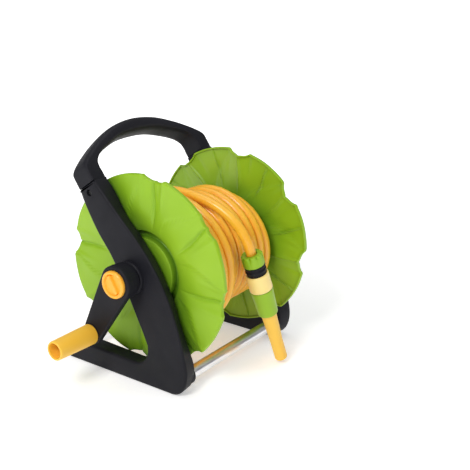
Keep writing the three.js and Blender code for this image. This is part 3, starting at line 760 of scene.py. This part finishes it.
def knob_flutes(radius, x, angle):
    """24 shallow flutes round the knob's edge, run out towards its face."""
    return 0.35 * math.cos(24 * angle) * smoothstep(radius, 20, 21) * smoothstep(x, 178, 172)


def knob():
    """Round knob with a sunk face and a raised finger bar across it."""
    place = on_crank(-CRANK_ANGLE)
    profile = [(0, 160.2), (6, 160.2), (6, 171.3), (21, 171.3), (21, 181), (19.5, 182.5), (16.6, 182.5),
               (15.2, 178.6), (0, 178.6)]
    turned("lock_knob_disc", profile, place, "lock_knob", "orange_plastic", ("crank_lock_knob",), 120,
           knob_flutes)
    around = 40
    bar = []
    for x, half_width, half_length in ((178, 4.0, 15.4), (180.6, 3.7, 15.2), (182.2, 2.6, 14.6)):
        for k in range(around):
            angle = 2 * math.pi * k / around
            y = half_width * math.copysign(abs(math.cos(angle)) ** 0.5, math.cos(angle))
            z = half_length * math.copysign(abs(math.sin(angle)) ** 0.4, math.sin(angle))
            bar.append(place(Vector((x, y, z))))
    faces = grid_faces(3, around) + [tuple(range(around)), tuple(2 * around + k for k in range(around))]
    make_piece("lock_knob_bar", bar, faces, "lock_knob", "orange_plastic", ())


crank()
knob()
GRIP = [(GRIP_BORE, 0), (15.2, 0), (16.2, 1.2), (16.0, 20), (15.3, 60), (15.0, 72.6), (14.2, 74),
        (12.4, 74), (12.0, 72.6), (12.0, 30), (GRIP_BORE, 30), (GRIP_BORE, 0)]
turned("grip_sleeve", [(radius, GRIP_AT + x) for radius, x in GRIP], on_crank(drop=CRANK_LENGTH),
       "grip", "yellow_plastic", ("crank_grip",), 120)

# ---- connector and nozzle, along +X from the top of the nut ----
AT_NOZZLE = towards(NOZZLE_TOP, NOZZLE_TIP)


def scallops(radius, x, angle):
    """Eight finger scallops round the top of the nut, run out below."""
    if radius < 12:
        return 0.0
    dip = abs(math.sin(4 * angle))
    return -2.6 * (1 - dip) ** 2 * smoothstep(x, 7.5, 1.5) - 0.35 * (1 - dip) ** 2


def sleeve_ribs(radius, x, angle):
    """30 fine ribs round the middle of the sleeve."""
    depth = -0.25 * (0.5 + 0.5 * math.cos(30 * angle))
    return depth * smoothstep(radius, 17.8, 18.2) * smoothstep(x, 37, 39) * smoothstep(x, 48, 46)


NUT = [(8.6, 0), (15.8, 0), (16.9, 1), (16.9, 3), (16.9, 5), (16.95, 8), (17, 12), (17, 18), (16.2, 19),
       (8.6, 19), (8.6, 0)]
COUPLER = [(0, 16), (6, 16), (6, 19.3), (16.6, 19.3), (16.6, 22.4), (14.8, 23.2), (14.8, 26), (16.6, 26.8),
           (16.6, 29), (15.3, 29.4), (15.3, 50), (12.3, 50), (12.3, 42), (0, 42)]
SLEEVE = [(15.6, 34.5), (17.4, 34.5), (18.3, 36), (18.35, 44), (18.1, 52), (18.3, 62), (17.5, 63.5),
          (15.6, 63.5), (15.6, 34.5)]
SPRAY = [(4, 43), (10, 43), (12, 46), (12, 50.3), (15.3, 50.3), (15.3, 63.8), (17.7, 63.8), (18, 66),
         (17.2, 78), (15.7, 106.6), (14.6, 108.5), (12.7, 108.5), (12.7, 92), (4, 92), (4, 43)]
turned("hose_nut", NUT, AT_NOZZLE, "frame", "green_plastic", ("connector_nut",), 160, scallops)
turned("coupler_body", COUPLER, AT_NOZZLE, "frame", "black_plastic", ("connector_body",), 120)
turned("release_sleeve", SLEEVE, AT_NOZZLE, "sleeve", "amber_plastic", ("connector_sleeve",), 120,
       sleeve_ribs)
turned("spray_body", SPRAY, AT_NOZZLE, "frame", "green_plastic", ("nozzle_body",), 120)

# ---- drum discs ----
PETALS = 8
NOTCH = math.radians(37.5)
NOTCH_HALF, NOTCH_DEPTH = math.radians(7.6), 8
PITCH = 2 * math.pi / PETALS
DISC_R, PETAL_ROOT, DISC_WALL = 150, 64, 3.2


def within_petal(angle):
    """Share of the way, from 0 to 1, from one notch to the next."""
    turn = (angle - NOTCH) * PETALS / (2 * math.pi)
    return turn - math.floor(turn)


def disc_profile():
    """Section of a disc as (radius, x) points, and the range of them that lie behind the petals."""
    hub = [(12.3, 112.4), (20, 112.4), (21.6, 109.8), (34, 110.2), (50.8, 110.4), (52.4, 109.4)]
    groove = [(52.9, 105), (53.2, 99.2), (53.8, 98.6), (61.4, 98.6), (62, 99.6), (62.4, 104.6),
              (63.4, 107.6), (66, 108.5)]
    outer = hub + groove
    radii = [74, 82, 90, 98, 106, 112, 118, 124, 129, 134, 138, 142, 146]
    face = [(r, 108.4 + 1.1 * smoothstep(r, 67, 106) - 1.2 * smoothstep(r, 110, 146)) for r in radii]
    rim = [(148.6, 108.2), (149.7, 107.2), (DISC_R, 105.6), (DISC_R, 103), (149.8, 101.7), (148.6, 101.3),
           (147.4, 101.8), (146.6, 104.4)]
    inner = [(r, x - DISC_WALL) for r, x in reversed(face[:-1])]
    back = [(67, 105), (63.6, 95.6), (49.6, 95.6), (49.6, 86.2), (46.5, 86.2), (46.5, 106.3), (18, 106.3),
            (12.3, 92.2)]
    first_inner = len(outer) + len(face) + len(rim) - 1
    return outer + face + rim + inner + back, range(first_inner, first_inner + len(inner))


def petal_rise(radius, angle):
    """Height of the folded petals over the plain disc."""
    grown = smoothstep(radius, PETAL_ROOT, 106)
    # the folds lean a little round the disc on their way in
    part = within_petal(angle + 0.10 * smoothstep(radius, DISC_R, PETAL_ROOT))
    wave = 2 * math.sin(math.pi * part) ** 0.8 - 1
    near = min(part, 1 - part) * PITCH * radius
    rise = 3.0 * grown * wave
    rise -= 1.8 * grown * math.exp(-(near / 2.6) ** 2)
    # a second fold curls from beside each notch towards the hub
    curl = within_petal(angle - 0.16 - 0.34 * smoothstep(radius, 146, 74))
    step = (curl if curl < 0.5 else curl - 1) * PITCH * radius
    rise += 1.7 * smoothstep(radius, 70, 84) * math.exp(-(max(step, 0) / 16) ** 2) * smoothstep(step, -2.4, 0)
    # a low swelling stands beside each notch near the rim
    offset = from_notch(angle) * radius
    rise += 1.3 * math.exp(-((offset - 20) / 4.5) ** 2) * smoothstep(radius, 92, 136)
    return rise


def from_notch(angle):
    """Angle to the nearest notch."""
    plain = within_petal(angle)
    return min(plain, 1 - plain) * PITCH


def notched(radius, angle):
    """The radius drawn in where a notch cuts the rim."""
    offset = from_notch(angle)
    notch = (1 - (offset / NOTCH_HALF) ** 2) ** 0.75 if offset < NOTCH_HALF else 0.0
    return radius - NOTCH_DEPTH * smoothstep(radius, 112, 146) * notch


def back_rib(radius, angle):
    """Depth of the rib behind the middle of each petal, on the hose side."""
    part = within_petal(angle + 0.10 * smoothstep(radius, DISC_R, PETAL_ROOT))
    middle = abs(part - 0.5) * PITCH * radius
    return 2.2 * smoothstep(middle, 1.8, 0.7) * smoothstep(radius, 88, 94) * smoothstep(radius, 146, 142)


def disc(side):
    """Petal disc: hub, shadow groove, petals with creases, rim lip, and ribs on the hose side."""
    profile, behind = disc_profile()
    count = 720
    verts = []
    for i, (radius, x) in enumerate(profile):
        for k in range(count):
            angle = 2 * math.pi * k / count
            rise = petal_rise(radius, angle)
            if i in behind:
                rise -= back_rib(radius, angle)
            edge = notched(radius, angle)
            verts.append((side * (x + rise), -edge * math.cos(angle), AXLE_HEIGHT + edge * math.sin(angle)))
    name = "drum_disc_right" if side > 0 else "drum_disc_left"
    faces = grid_faces(len(profile), count, close_rows=True)
    return make_piece(name + "_petals", verts, faces, "drum", "green_plastic", (name,), sharp=40)


disc(1)
disc(-1)

# ---- the hose itself ----
winding = winding_route()
tail = tail_route()
winding_piece = hose_curve("wound_hose", winding, HOSE, caps=True)
tail_piece = hose_curve("loose_hose_end", tail, HOSE, caps=True)
finish_piece(winding_piece, "drum", "hose_pvc", ("hose_winding",))
finish_piece(tail_piece, "frame", "hose_pvc", ("hose_tail",))
ON_TAIL = [bpy.data.objects[n] for n in ("hose_nut", "coupler_body", "release_sleeve", "spray_body")]
ON_TAIL += [frame["nodes"]["nozzle_stem"], frame["nodes"]["nozzle_tube"]]
tuple(row(*winding[0]))
length_of(winding)
tuple(row(*tail[0]))
length_of(tail)


# ---- studio ----
def stage_floor():
    """White sweep that glows, as painted light: bright enough to read as plain paper, its glow dimmer near
    the middle so it still takes the object's soft shadow.
    """
    bpy.ops.mesh.primitive_plane_add(size=80, location=(0, 0, 0))
    floor = bpy.context.object
    floor.name = "studio_floor"
    material, tree, shader, place = node_material("studio_floor")
    tint = ranged(tree, noise(tree, place, 3.0), 0, 1)
    tree.links.new(mixed(tree, tint, (0.9, 0.9, 0.9), (0.92, 0.92, 0.92)), shader.inputs["Base Color"])
    shader.inputs["Roughness"].default_value = 0.8
    shader.inputs["Specular IOR Level"].default_value = 0.1
    shader.inputs["Emission Color"].default_value = (1, 1, 1, 1)
    distance = tree.nodes.new("ShaderNodeVectorMath")
    distance.operation = "LENGTH"
    tree.links.new(place, distance.inputs[0])
    # painted light: the floor glows at 0.42 within 0.3 m of the middle, rising to full white at 1.6 m
    glow = ranged(tree, distance.outputs["Value"], 0.42, 1.0, (0.3, 1.6))
    tree.links.new(glow, shader.inputs["Emission Strength"])
    floor.data.materials.append(material)


def area_light(name, place, target, size, power, color=(1, 1, 1)):
    data = bpy.data.lights.new(name, "AREA")
    data.shape = "DISK"
    data.size = size
    data.energy = power
    data.color = color
    light = bpy.data.objects.new(name, data)
    bpy.context.scene.collection.objects.link(light)
    light.location = place
    light.rotation_euler = (Vector(target) - Vector(place)).to_track_quat("-Z", "Y").to_euler()


def sky():
    """Light grey overhead, dim low down for the chrome's dark bands, and white at the horizon and below."""
    world = bpy.data.worlds.new("studio")
    world.use_nodes = True
    tree = world.node_tree
    coord = tree.nodes.new("ShaderNodeTexCoord")
    split = tree.nodes.new("ShaderNodeSeparateXYZ")
    tree.links.new(coord.outputs["Generated"], split.inputs["Vector"])
    ramp = tree.nodes.new("ShaderNodeValToRGB")
    stops = ramp.color_ramp.elements
    stops[0].position, stops[0].color = 0.0, (1.0, 1.0, 1.0, 1)
    stops[1].position, stops[1].color = 1.0, (0.58, 0.58, 0.58, 1)
    for position, level in ((0.04, 1.0), (0.08, 0.174), (0.22, 0.116), (0.5, 0.406)):
        stop = stops.new(position)
        stop.color = (level, level, level, 1)
    tree.links.new(split.outputs["Z"], ramp.inputs["Fac"])
    background = tree.nodes["Background"]
    tree.links.new(ramp.outputs["Color"], background.inputs["Color"])
    background.inputs["Strength"].default_value = 1.0
    bpy.context.scene.world = world


def studio():
    stage_floor()
    sky()
    area_light("key", (-1.7, -0.35, 1.7), (0, 0, 0.15), 0.7, 25)
    area_light("top", (0.3, 0.1, 2.2), (0, 0, 0.15), 1.2, 7)
    bpy.context.scene.view_settings.view_transform = "Standard"


studio()
